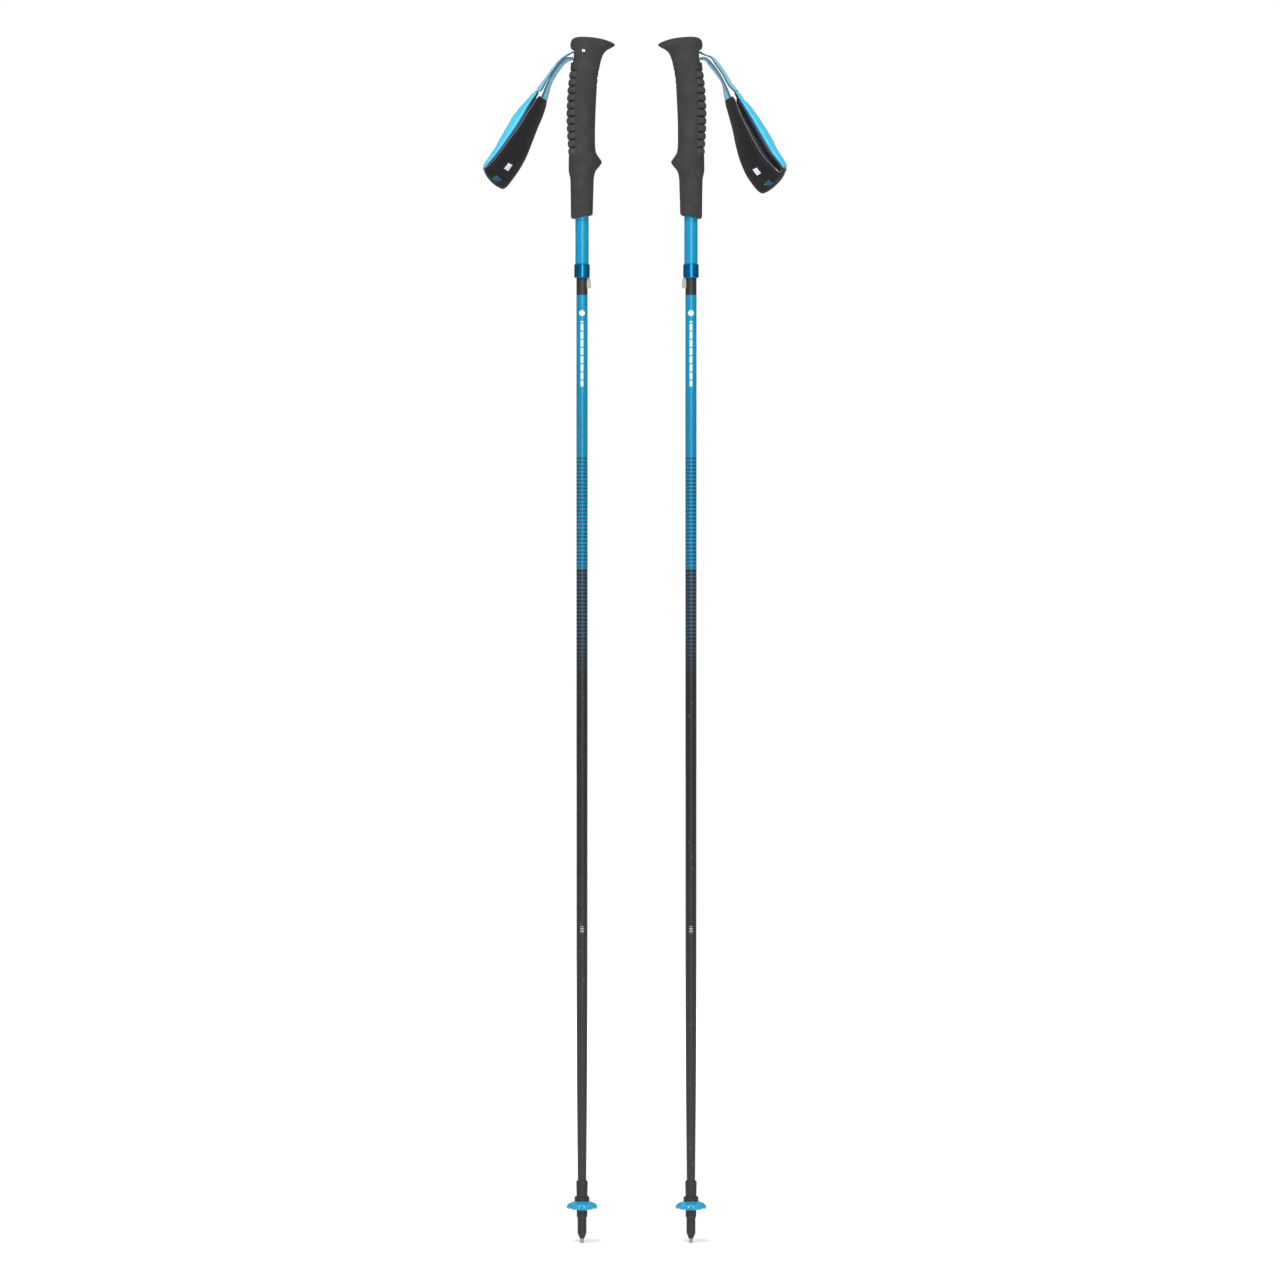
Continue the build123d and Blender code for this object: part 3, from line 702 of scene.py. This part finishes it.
# Sections of a strap in order from the lower strand's mouth, round the loop's end and back to
# the upper strand's mouth: the far edge and the near edge as outward, upward and sideways
# distances from the mouth, and how far the band bulges outwards between them, in millimetres
LEFT_STRAP = [
    ((2.5, -5.4, 7.5), (4.1, -3.2, -7.5), 0.0),
    ((7.4, -9.9, 7.5), (9.2, -7.7, -7.5), 0.0),
    ((13.6, -18.7, 7.5), (16.3, -16.7, -7.5), 0.0),
    ((18.4, -28.6, 8.5), (22.2, -27.0, -8.5), 0.0),
    ((22.1, -44.5, 10.0), (29.9, -40.6, -11.0), 0.8),
    ((26.2, -58.6, 11.0), (41.0, -58.0, -13.0), 1.6),
    ((31.6, -71.6, 11.0), (48.6, -70.3, -13.0), 2.2),
    ((37.4, -86.5, 11.0), (58.2, -83.0, -13.0), 2.5),
    ((44.5, -103.4, 11.0), (68.6, -97.0, -13.0), 2.5),
    ((55.8, -121.3, 11.0), (77.7, -108.0, -13.0), 2.0),
    ((67.3, -132.5, 11.5), (83.8, -113.2, -13.0), 1.5),
    ((79.6, -124.0, 13.5), (86.1, -112.7, -12.0), 1.5),
    ((82.0, -112.0, 13.0), (82.6, -110.0, -9.0), 4.4),
    ((66.8, -98.4, 12.5), (70.4, -96.4, -7.0), 9.0),
    ((53.2, -82.2, 12.5), (57.6, -79.6, -7.0), 12.4),
    ((42.6, -66.3, 12.5), (46.9, -63.9, -7.0), 13.7),
    ((37.9, -52.0, 12.0), (39.9, -49.9, -7.0), 9.0),
    ((35.2, -35.6, 10.0), (32.3, -37.1, -7.5), 2.2),
    ((33.5, -30.8, 8.0), (28.6, -34.0, -7.5), 0.0),
    ((25.8, -20.8, 7.5), (22.8, -22.9, -7.5), 0.0),
    ((16.4, -7.9, 7.5), (14.1, -10.1, -7.5), 0.0),
    ((9.3, -0.6, 7.5), (7.8, -2.8, -7.5), 0.0),
    ((2.5, 3.8, 7.5), (1.6, 1.2, -7.5), 0.0),
]
RIGHT_STRAP = [
    ((2.5, -4.4, 7.5), (2.9, -3.2, -7.5), 0.0),
    ((6.5, -9.4, 7.5), (8.3, -7.8, -7.5), 0.0),
    ((14.0, -18.9, 7.5), (15.7, -17.7, -7.5), 0.0),
    ((19.0, -27.8, 8.5), (20.9, -27.0, -8.5), 0.0),
    ((21.1, -43.7, 10.0), (28.9, -40.9, -11.0), 0.8),
    ((25.1, -59.0, 11.0), (36.3, -60.1, -13.0), 1.6),
    ((28.9, -73.6, 11.0), (45.5, -78.1, -13.0), 2.2),
    ((32.1, -89.0, 11.0), (52.0, -90.0, -13.0), 2.5),
    ((37.1, -106.0, 11.0), (59.0, -100.9, -13.0), 2.5),
    ((46.0, -123.5, 11.0), (69.0, -111.5, -13.0), 2.0),
    ((60.0, -137.0, 11.5), (76.0, -118.0, -13.0), 1.5),
    ((76.0, -125.5, 13.5), (80.5, -115.5, -12.5), 1.5),
    ((77.5, -114.0, 13.0), (77.0, -109.5, -11.0), 7.0),
    ((60.5, -100.8, 11.5), (66.4, -97.0, -9.0), 13.3),
    ((50.1, -83.8, 11.0), (56.0, -80.0, -8.0), 14.4),
    ((41.1, -65.5, 11.0), (46.0, -62.1, -8.0), 12.2),
    ((34.9, -50.3, 11.0), (37.9, -47.7, -8.0), 8.4),
    ((35.9, -34.8, 9.5), (32.6, -37.4, -7.5), 1.4),
    ((29.8, -25.6, 7.5), (25.6, -28.6, -7.5), 0.0),
    ((23.5, -15.2, 7.5), (19.9, -18.0, -7.5), 0.0),
    ((16.9, -5.8, 7.5), (13.7, -9.2, -7.5), 0.0),
    ((10.4, 0.6, 7.5), (8.9, -2.0, -7.5), 0.0),
    ((2.5, 2.6, 7.5), (2.5, 1.3, -7.5), 0.0),
]
# Places along those tables: where the pad starts and ends, the panel's start and the labels
PAD_FIRST = 4
PAD_LAST = 17
PANEL_FIRST = 11.7
LABEL_PLACE = {"left": 8.62, "right": 8.75}
WEBBING_WIDTH = 15.0
WEBBING_THICKNESS = 1.6
PAD_DEPTH = 1.1
PAD_THICKNESS = 2.5
MOUTH_FROM_AXIS = 11.5


def strap_rows(table):
    """A strap's table as an array of far, near and (bulge, 0, 0), with a root row at each end."""
    rows = [[far, near, (bulge, 0, 0)] for far, near, bulge in table]
    lower_root = [(-3.0, -3.2, 7.5), (-3.0, -3.2, -7.5), (0, 0, 0)]
    upper_root = [(-3.0, 5.0, 7.5), (-3.0, 5.0, -7.5), (0, 0, 0)]
    return np.array([lower_root, *rows, upper_root], float)


def strap_surface(pole, rows, t, a, depth):
    """Points of a strap band in the pole's frame, in millimetres.

    At place t along the table the band runs from its near edge (a = -1) to its far edge
    (a = 1) with a parabolic bulge, and a point lies that depth inside the outer face."""
    mouth = pole.joints["strap_swing"]["pos_m"]
    signs = np.array([-1.0, pole.turn, 1.0])
    origin = np.array([-MOUTH_FROM_AXIS, 0.0, mouth[2] / MM])

    def section(t):
        far, near, bulge = spline(rows, t + 1).transpose(1, 0, 2)
        across_then_up = [0, 2, 1]
        far, near = far[:, across_then_up] * signs, near[:, across_then_up] * signs
        return origin + far, origin + near, bulge[:, :1]

    far, near, bulge = section(t)
    step = 0.02
    ahead, back = section(t + step), section(t - step)
    tangent = unit((ahead[0] + ahead[1]) - (back[0] + back[1]))
    inward = unit(np.cross(tangent, far - near)) * -pole.turn
    middle, half = (far + near) / 2, (far - near) / 2
    a, depth = a[..., None], depth[..., None]
    line = middle[:, None] + a * half[:, None] - inward[:, None] * bulge[:, None] * (1 - a**2)
    slope = half[:, None] + 2 * a * inward[:, None] * bulge[:, None]
    normal = unit(np.cross(tangent[:, None], slope)) * -pole.turn
    return line + normal * depth


def along_strap(pole, rows, t):
    """The distance along the middle of a strap at each place t, in metres."""
    flat = np.zeros((len(t), 1))
    middle = strap_surface(pole, rows, t, flat, flat)[:, 0]
    steps = np.linalg.norm(np.diff(middle, axis=0), axis=-1)
    return np.concatenate([[0], np.cumsum(steps)]) * MM


def strap_half_width(pole, rows, t):
    """Half the distance from a band's near edge to its far edge at each place t."""
    flat = np.zeros((len(t), 1))
    near, far = (strap_surface(pole, rows, t, flat + side, flat) for side in (-1.0, 1.0))
    return np.linalg.norm(far - near, axis=-1) / 2


def flat_profile(around, corner):
    """A closed flat profile: across from -1 to 1 and a half thickness of -1 to 1 with round edges."""
    angle = np.linspace(0, 2 * pi, around, endpoint=False) + pi / around
    across = np.sign(np.cos(angle)) * np.abs(np.cos(angle)) ** 0.8
    height = np.sign(np.sin(angle)) * np.abs(np.sin(angle)) ** corner
    return across[None, :], height[None, :]


def make_webbing(pole, rows):
    """The two bare strands, of even width, from inside the head to inside the pad's sleeves."""
    spans = {"lower": (-1, PAD_FIRST + 0.5), "upper": (PAD_LAST - 0.4, len(rows) - 2)}
    for strand, (first, last) in spans.items():
        t = np.linspace(first, last, 190)
        across, height = flat_profile(56, 0.32)
        a = across * np.minimum(1, WEBBING_WIDTH / 2 / strap_half_width(pole, rows, t))
        place = along_strap(pole, rows, t)[:, None]
        ribs = 0.05 * np.sin(2 * pi * place / 0.0011) * (1 - np.abs(across) ** 6)
        depth = WEBBING_THICKNESS / 2 - height * (WEBBING_THICKNESS / 2 - 0.05 + ribs)
        rings = pole.world(strap_surface(pole, rows, t, a, depth))
        spread = across * WEBBING_WIDTH / 2 * MM + 0 * place
        name = pole.node(f"strap_webbing_{strand}")
        piece = skin(name, rings, WEBBING, along=place, across=spread)
        finished(piece, None, "webbing_blue", pole.node("strap_webbing"))
        pole.node("handle")
        pole.node("strap")
        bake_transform(piece)


def pad_rings(pole, rows, t):
    """The pad's rings at the places t, in the pole's frame, and its attributes.

    It is crowned between its edges, with a sewn channel near each and small puckers."""
    across, height = flat_profile(120, 0.42)
    place = along_strap(pole, rows, t)[:, None]
    half_width = strap_half_width(pole, rows, t)
    edge = half_width * (1 - np.abs(across))
    ends = np.minimum(place, place[-1] - place) / MM
    sleeve = bell(t[:, None] - PAD_FIRST, 1.3)
    panel = ramp(t[:, None], PANEL_FIRST - 0.9, PANEL_FIRST)
    outer_crown = (0.9 + 0.7 * sleeve) * (1 - panel)
    crown = ramp(edge, 0.4, 6.0)
    channel = bell(edge - 2.4, 0.55)
    pucker = np.sin(2 * pi * place / 0.0034 + 3 * np.sin(place * 310)) * bell(edge - 2.4, 2.2)
    wrinkle = np.sin(place * 420 + across * 2.3) * np.sin(place * 170 - across * 3.1)
    swell = crown - channel * 0.42 + pucker * 0.10 + wrinkle * 0.14 * crown
    outer = PAD_DEPTH - outer_crown * (0.35 + 0.65 * swell) + panel * 0.15 * channel
    inner = PAD_DEPTH + PAD_THICKNESS - 0.9 + 1.2 * swell
    round_end = np.sqrt(np.clip(1 - np.clip(1 - ends / 1.4, 0, 1) ** 2, 0.02, 1))
    middle, half = (outer + inner) / 2, (inner - outer) / 2 * round_end
    depth = middle - height * half
    corner = 1 - 0.10 * bell(ends, 5.0)
    rings = strap_surface(pole, rows, t, across * corner, depth)
    inside = (height < 0) + 0.0 * place
    spread = across * half_width * MM
    return rings, {"along": place, "across": spread, "edge": edge * MM, "inside": inside}


def make_pad(pole, rows):
    """The padded loop, with its label at a place of its own on each strap."""
    t = np.linspace(PAD_FIRST, PAD_LAST, 420)
    rings, attributes = pad_rings(pole, rows, t)
    label_place = float(np.interp(LABEL_PLACE[pole.name], t, attributes["along"][:, 0]))
    finish = pad_finish(label_place)
    finish.name = pole.node("pad_knit")
    piece = skin(pole.node("strap_cushion"), pole.world(rings), finish, **attributes)
    finished(piece, pole.node("strap"), "pad_black", pole.node("strap_pad"))


def make_panel(pole, rows):
    """The outer panel: a thin sewn sheet that follows the pad's back with a little slack."""
    t = np.linspace(PANEL_FIRST, PAD_LAST + 0.15, 240)
    across, height = flat_profile(96, 0.3)
    place = along_strap(pole, rows, t)[:, None]
    half_width = strap_half_width(pole, rows, t)
    edge = half_width * (1 - np.abs(across))
    edge = np.minimum(edge, np.minimum(place, place[-1] - place) / MM)
    slack = 0.18 * np.sin(place * 330 + across * 2.0) * np.sin(place * 140 - across * 4.0)
    channel = bell(edge - 2.2, 0.6)
    top = -0.15 - slack * ramp(edge, 1, 5) - 0.35 * ramp(edge, 0.3, 4) + 0.30 * channel
    foot = 0.95
    depth = (top + foot) / 2 - height * (foot - top) / 2
    rings = pole.world(strap_surface(pole, rows, t, across * 0.985, depth))
    spread = across * half_width * MM
    piece = skin(pole.node("strap_cover"), rings, PANEL, along=place, across=spread, edge=edge * MM)
    finished(piece, pole.node("strap"), "webbing_blue", pole.node("strap_panel"))


def tube_rings(path, radius, around, up=(0.0, 1.0, 0.0)):
    """Rings of a round tube carried along a path of points, square to its direction."""
    tangent = unit(np.gradient(path, axis=0))
    side = unit(np.cross(tangent, up))
    other = np.cross(tangent, side)
    angle = np.linspace(0, 2 * pi, around, endpoint=False)
    circle = side[:, None] * np.cos(angle)[:, None] + other[:, None] * np.sin(angle)[:, None]
    return path[:, None] + np.reshape(radius, (-1, 1, 1)) * circle


def make_piping(pole, rows):
    """A pale cord sewn along the lower strand's near rim."""
    t = np.linspace(PAD_FIRST + 0.1, 11.2, 260)
    line = strap_surface(pole, rows, t, np.full((len(t), 1), -1.0), np.full((len(t), 1), 2.0))[:, 0]
    taper = np.minimum(1, np.minimum(t - t[0], t[-1] - t) / 0.15 + 0.15)
    piece = skin(pole.node("strap_piping"), pole.world(tube_rings(line, 0.45 * taper, 12)), PIPING)
    finished(piece, pole.node("strap"), "pad_black")


# --- Basket, button and cord ------------------------------------------------------------------

BUTTON_HEIGHT = 9.7
BUTTON_BACK = 2.2
BUTTON_HALF = 2.45
BUTTON_RIBS = 6
COLLAR_GAP = 0.3
CORD_RADIUS = 1.2
BEND_LENGTH = 3.0

# The basket's profile, closed, as radius and height above its foot, in millimetres
BASKET_PROFILE = [
    (4.85, 0.2),
    (4.85, 8.7),
    (5.4, 8.95),
    (7.0, 8.9),
    (7.9, 8.3),
    (9.6, 7.4),
    (11.6, 6.9),
    (13.4, 6.1),
    (14.8, 4.8),
    (15.4, 3.2),
    (14.9, 1.9),
    (13.9, 1.4),
    (12.8, 2.2),
    (11.0, 3.6),
    (9.2, 4.5),
    (7.4, 5.0),
    (6.7, 4.2),
    (6.4, 1.2),
    (6.1, 0.2),
    (5.4, 0.02),
]


def make_basket(pole, petals=6):
    """A drooping scalloped disc on a hub: the profile turned round the pole, with each petal's
    rim drawn in and lifted where it meets the next, and a raised rib along its middle."""
    t = np.linspace(0, len(BASKET_PROFILE), 150, endpoint=False)
    closed = BASKET_PROFILE[-2:] + BASKET_PROFILE + BASKET_PROFILE[:3]
    radius, height = spline(closed, t + 2).T[:, None, :]
    angle = np.linspace(0, 2 * pi, 240, endpoint=False)[:, None]
    petal = np.abs(np.cos(petals / 2 * angle))
    reach = ramp(radius, 7.5, 15.0)
    valley = (1 - petal) ** 3
    upper = (t > 3) & (t < 9.5)
    rib = bell((1 - petal) * 14, 1.0) * upper * ramp(radius, 7.8, 9.5) * (1 - ramp(radius, 13.0, 14.4))
    r = radius * (1 - 0.115 * valley * reach)
    z = height + 1.25 * valley * reach - 0.35 * petal * reach + 0.45 * rib
    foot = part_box(pole.node("basket"))[0].z / MM
    rings = np.stack([r * np.cos(angle), r * np.sin(angle), z + foot + 0 * angle], -1)
    piece = skin(pole.node("snow_basket"), pole.world(rings), BASKET, looped=True)
    finished(piece, pole.node("lower_section"), "basket_blue", pole.node("basket"))


def make_button(pole):
    """The release button: a rounded wedge with ribs for the thumb."""
    low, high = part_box(pole.node("release_button"))
    front = max(abs(low.x / MM - pole.axis), abs(high.x / MM - pole.axis))
    back, half = BUTTON_BACK, BUTTON_HALF
    top = pole.collar_foot - COLLAR_GAP
    foot = top - BUTTON_HEIGHT
    s = np.linspace(0, 1, 120)[:, None]
    angle = np.linspace(0, 2 * pi, 64, endpoint=False)[None, :]
    ease = np.clip(np.minimum(s, 1 - s) / 0.07, 0, 1)
    size = np.sqrt(1 - (1 - ease) ** 2) * 0.9 + 0.1
    rib = 0.16 * np.cos(2 * pi * s * BUTTON_RIBS) * bell(s - 0.5, 0.5)
    nose = front - 0.5 * ramp(s, 0.25, 1.0) + rib
    middle, reach = (nose + back) / 2, (nose - back) / 2
    x = middle + reach * size**0.3 * np.sign(np.cos(angle)) * np.abs(np.cos(angle)) ** 0.35
    y = half * size**0.5 * np.sign(np.sin(angle)) * np.abs(np.sin(angle)) ** 0.35
    z = foot + (top - foot) * s + 0 * angle
    piece = skin(pole.node("thumb_button"), pole.world(np.stack([x, y, z], -1)), BUTTON)
    finished(piece, pole.node("button"), "button_grey", pole.node("release_button"))
    anchor = pole.world((back, 0, top))
    pole.node("handle_slide")
    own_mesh(piece)


def make_cord(pole):
    """The tension cord, hidden in the shafts, in three lengths."""
    low, high = (corner.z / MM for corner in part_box(pole.node("tension_cord")))
    lower_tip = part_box(pole.node("lower_spigot"))[1].z / MM
    upper_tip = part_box(pole.node("upper_spigot"))[1].z / MM
    turn_foot, turn_head, aside = 876.0, 906.0, -2.75
    cuts = (low, 560.0, 830.0, high)
    bends = (
        ("lower_section", "middle_section", lower_tip, lower_tip + BEND_LENGTH),
        ("middle_section", "upper_section", upper_tip, upper_tip + BEND_LENGTH),
        ("upper_section", "handle", turn_head + 20, high - 40),
    )
    for i, (below, above, start, end) in enumerate(bends):
        z = np.unique(np.concatenate([
            np.linspace(cuts[i], cuts[i + 1], 120),
            np.linspace(start - 1, end + 1, 110),
        ]))
        x = aside * ramp(z, turn_foot, turn_head)
        path = np.stack([x, 0 * z, z], -1)
        rings = pole.world(tube_rings(path, CORD_RADIUS, 20))
        piece = skin(pole.node(f"tension_cord_{i + 1}"), rings, CORD)
        finished(piece, None, "cord_grey", pole.node("tension_cord"))
        ends = [pole.world((0, 0, height)) for height in (start, end)]
        pole.node(below)
        pole.node(above)
        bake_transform(piece)


# --- The whole pair ---------------------------------------------------------------------------

CARRIED_OVER = {
    "grip_core": BLACK,
    "strap_pin": STEEL,
    "strap_root": WEBBING,
    "upper_tube": BLUE,
    "lock_collar": COLLAR,
    "collar_bush": ACETAL,
    "cord_anchor": BLACK,
    "tension_spring": STEEL,
    "cord_crimp": STEEL,
    "lock_housing": BLACK,
    "guide_bush": ACETAL,
    "button_spring": STEEL,
    "upper_spigot": BLACK,
    "lower_spigot": BLACK,
    "cord_stop": BLACK,
    "tip_ferrule": BLACK,
    "carbide_tip": CARBIDE,
}


def paint_nodes(pole):
    """Gives every CAD node that stays its own finish."""
    finishes = {
        **CARRIED_OVER,
        "upper_section_tube": upper_shaft_finish(pole),
        "middle_section_tube": dark_shaft_finish(pole, "middle_section_tube"),
        "lower_section_tube": dark_shaft_finish(pole, "lower_section_tube"),
    }
    for part, finish in finishes.items():
        mesh = nodes[pole.node(part)].data
        mesh.materials.clear()
        mesh.materials.append(finish)


# How bright the room is, and what its sides, back and top add to that
ROOM_BASE = 0.20
ROOM_SIDE = -0.14
ROOM_BACK = -0.10
ROOM_TOP = 0.50


def make_stage():
    """A plain pale floor, soft light from all round and a camera that faces the pair."""
    bpy.ops.mesh.primitive_grid_add(x_subdivisions=8, y_subdivisions=8, size=40, location=(0, 0, 0))
    floor = bpy.context.object
    floor.name = "floor"
    f = Finish("pale_floor")
    base = f.mix(f.noise(0.4, 2) * 0.2, shade(236, 236, 236), shade(232, 232, 233))
    reach = f.axes()[1].rise(0.2, 2.0)
    lit = f.mix(reach, shade(150, 150, 150), shade(226, 226, 226))
    glow = {"Emission_Color": lit, "Emission_Strength": 1.0}
    floor.data.materials.append(f.done(Base_Color=base, Roughness=0.9, **glow))

    # The room: white where it is seen, and for light brightest from the front and above,
    # dimmer from behind and dimmest from the two sides, as between two dark flags.
    world = bpy.data.worlds.new("studio")
    bpy.context.scene.world = world
    world.use_nodes = True
    tree = world.node_tree
    add, join = tree.nodes.new, tree.links.new

    def maths(operation, a, b):
        made = add("ShaderNodeMath")
        made.operation = operation
        for socket, value in zip(made.inputs, (a, b)):
            if isinstance(value, bpy.types.NodeSocket):
                join(value, socket)
            else:
                socket.default_value = value
        return made.outputs[0]

    toward = add("ShaderNodeSeparateXYZ")
    join(add("ShaderNodeTexCoord").outputs["Generated"], toward.inputs[0])
    x, y, z = toward.outputs
    level = maths("ADD", ROOM_BASE, maths("MULTIPLY", maths("MULTIPLY", x, x), ROOM_SIDE))
    level = maths("ADD", level, maths("MULTIPLY", maths("MAXIMUM", y, 0.0), ROOM_BACK))
    level = maths("ADD", level, maths("MULTIPLY", maths("MAXIMUM", z, 0.0), ROOM_TOP))
    seen = add("ShaderNodeLightPath").outputs["Is Camera Ray"]
    background = tree.nodes["Background"]
    join(maths("MAXIMUM", level, seen), background.inputs["Strength"])
    background.inputs["Color"].default_value = (1, 1, 1, 1)

    def softbox(name, place, size, power, glossy):
        light = bpy.data.lights.new(name, "AREA")
        light.size = size
        light.energy = power
        lamp = bpy.data.objects.new(name, light)
        bpy.context.scene.collection.objects.link(lamp)
        lamp.location = place
        aim = Vector((0, 0, 0.6)) - Vector(place)
        lamp.rotation_euler = aim.to_track_quat("-Z", "Y").to_euler()
        lamp.visible_glossy = glossy

    softbox("front", (0.5, -4.2, 1.5), 1.0, 62, True)
    softbox("key", (-0.6, -2.4, 3.9), 1.1, 100, True)
    softbox("back", (-0.3, 4.2, 2.0), 1.6, 40, False)

    camera = bpy.data.objects.new("camera", bpy.data.cameras.new("camera"))
    bpy.context.scene.collection.objects.link(camera)
    distance, seen_width, centre_x, centre_z = 5.5, 1.2736, 0.0035, 0.600
    camera.data.sensor_width = 36.0
    camera.data.lens = camera.data.sensor_width * distance / seen_width
    camera.data.clip_end = 60
    camera.location = (centre_x, -distance, centre_z)
    camera.rotation_euler = (radians(90), 0, 0)
    bpy.context.scene.camera = camera
    bpy.context.scene.view_settings.view_transform = "Standard"


for pole in POLES:
    table = strap_rows({"left": LEFT_STRAP, "right": RIGHT_STRAP}[pole.name])
    paint_nodes(pole)
    make_grip(pole)
    make_webbing(pole, table)
    make_pad(pole, table)
    make_panel(pole, table)
    make_piping(pole, table)
    make_basket(pole)
    make_button(pole)
    make_cord(pole)
make_stage()
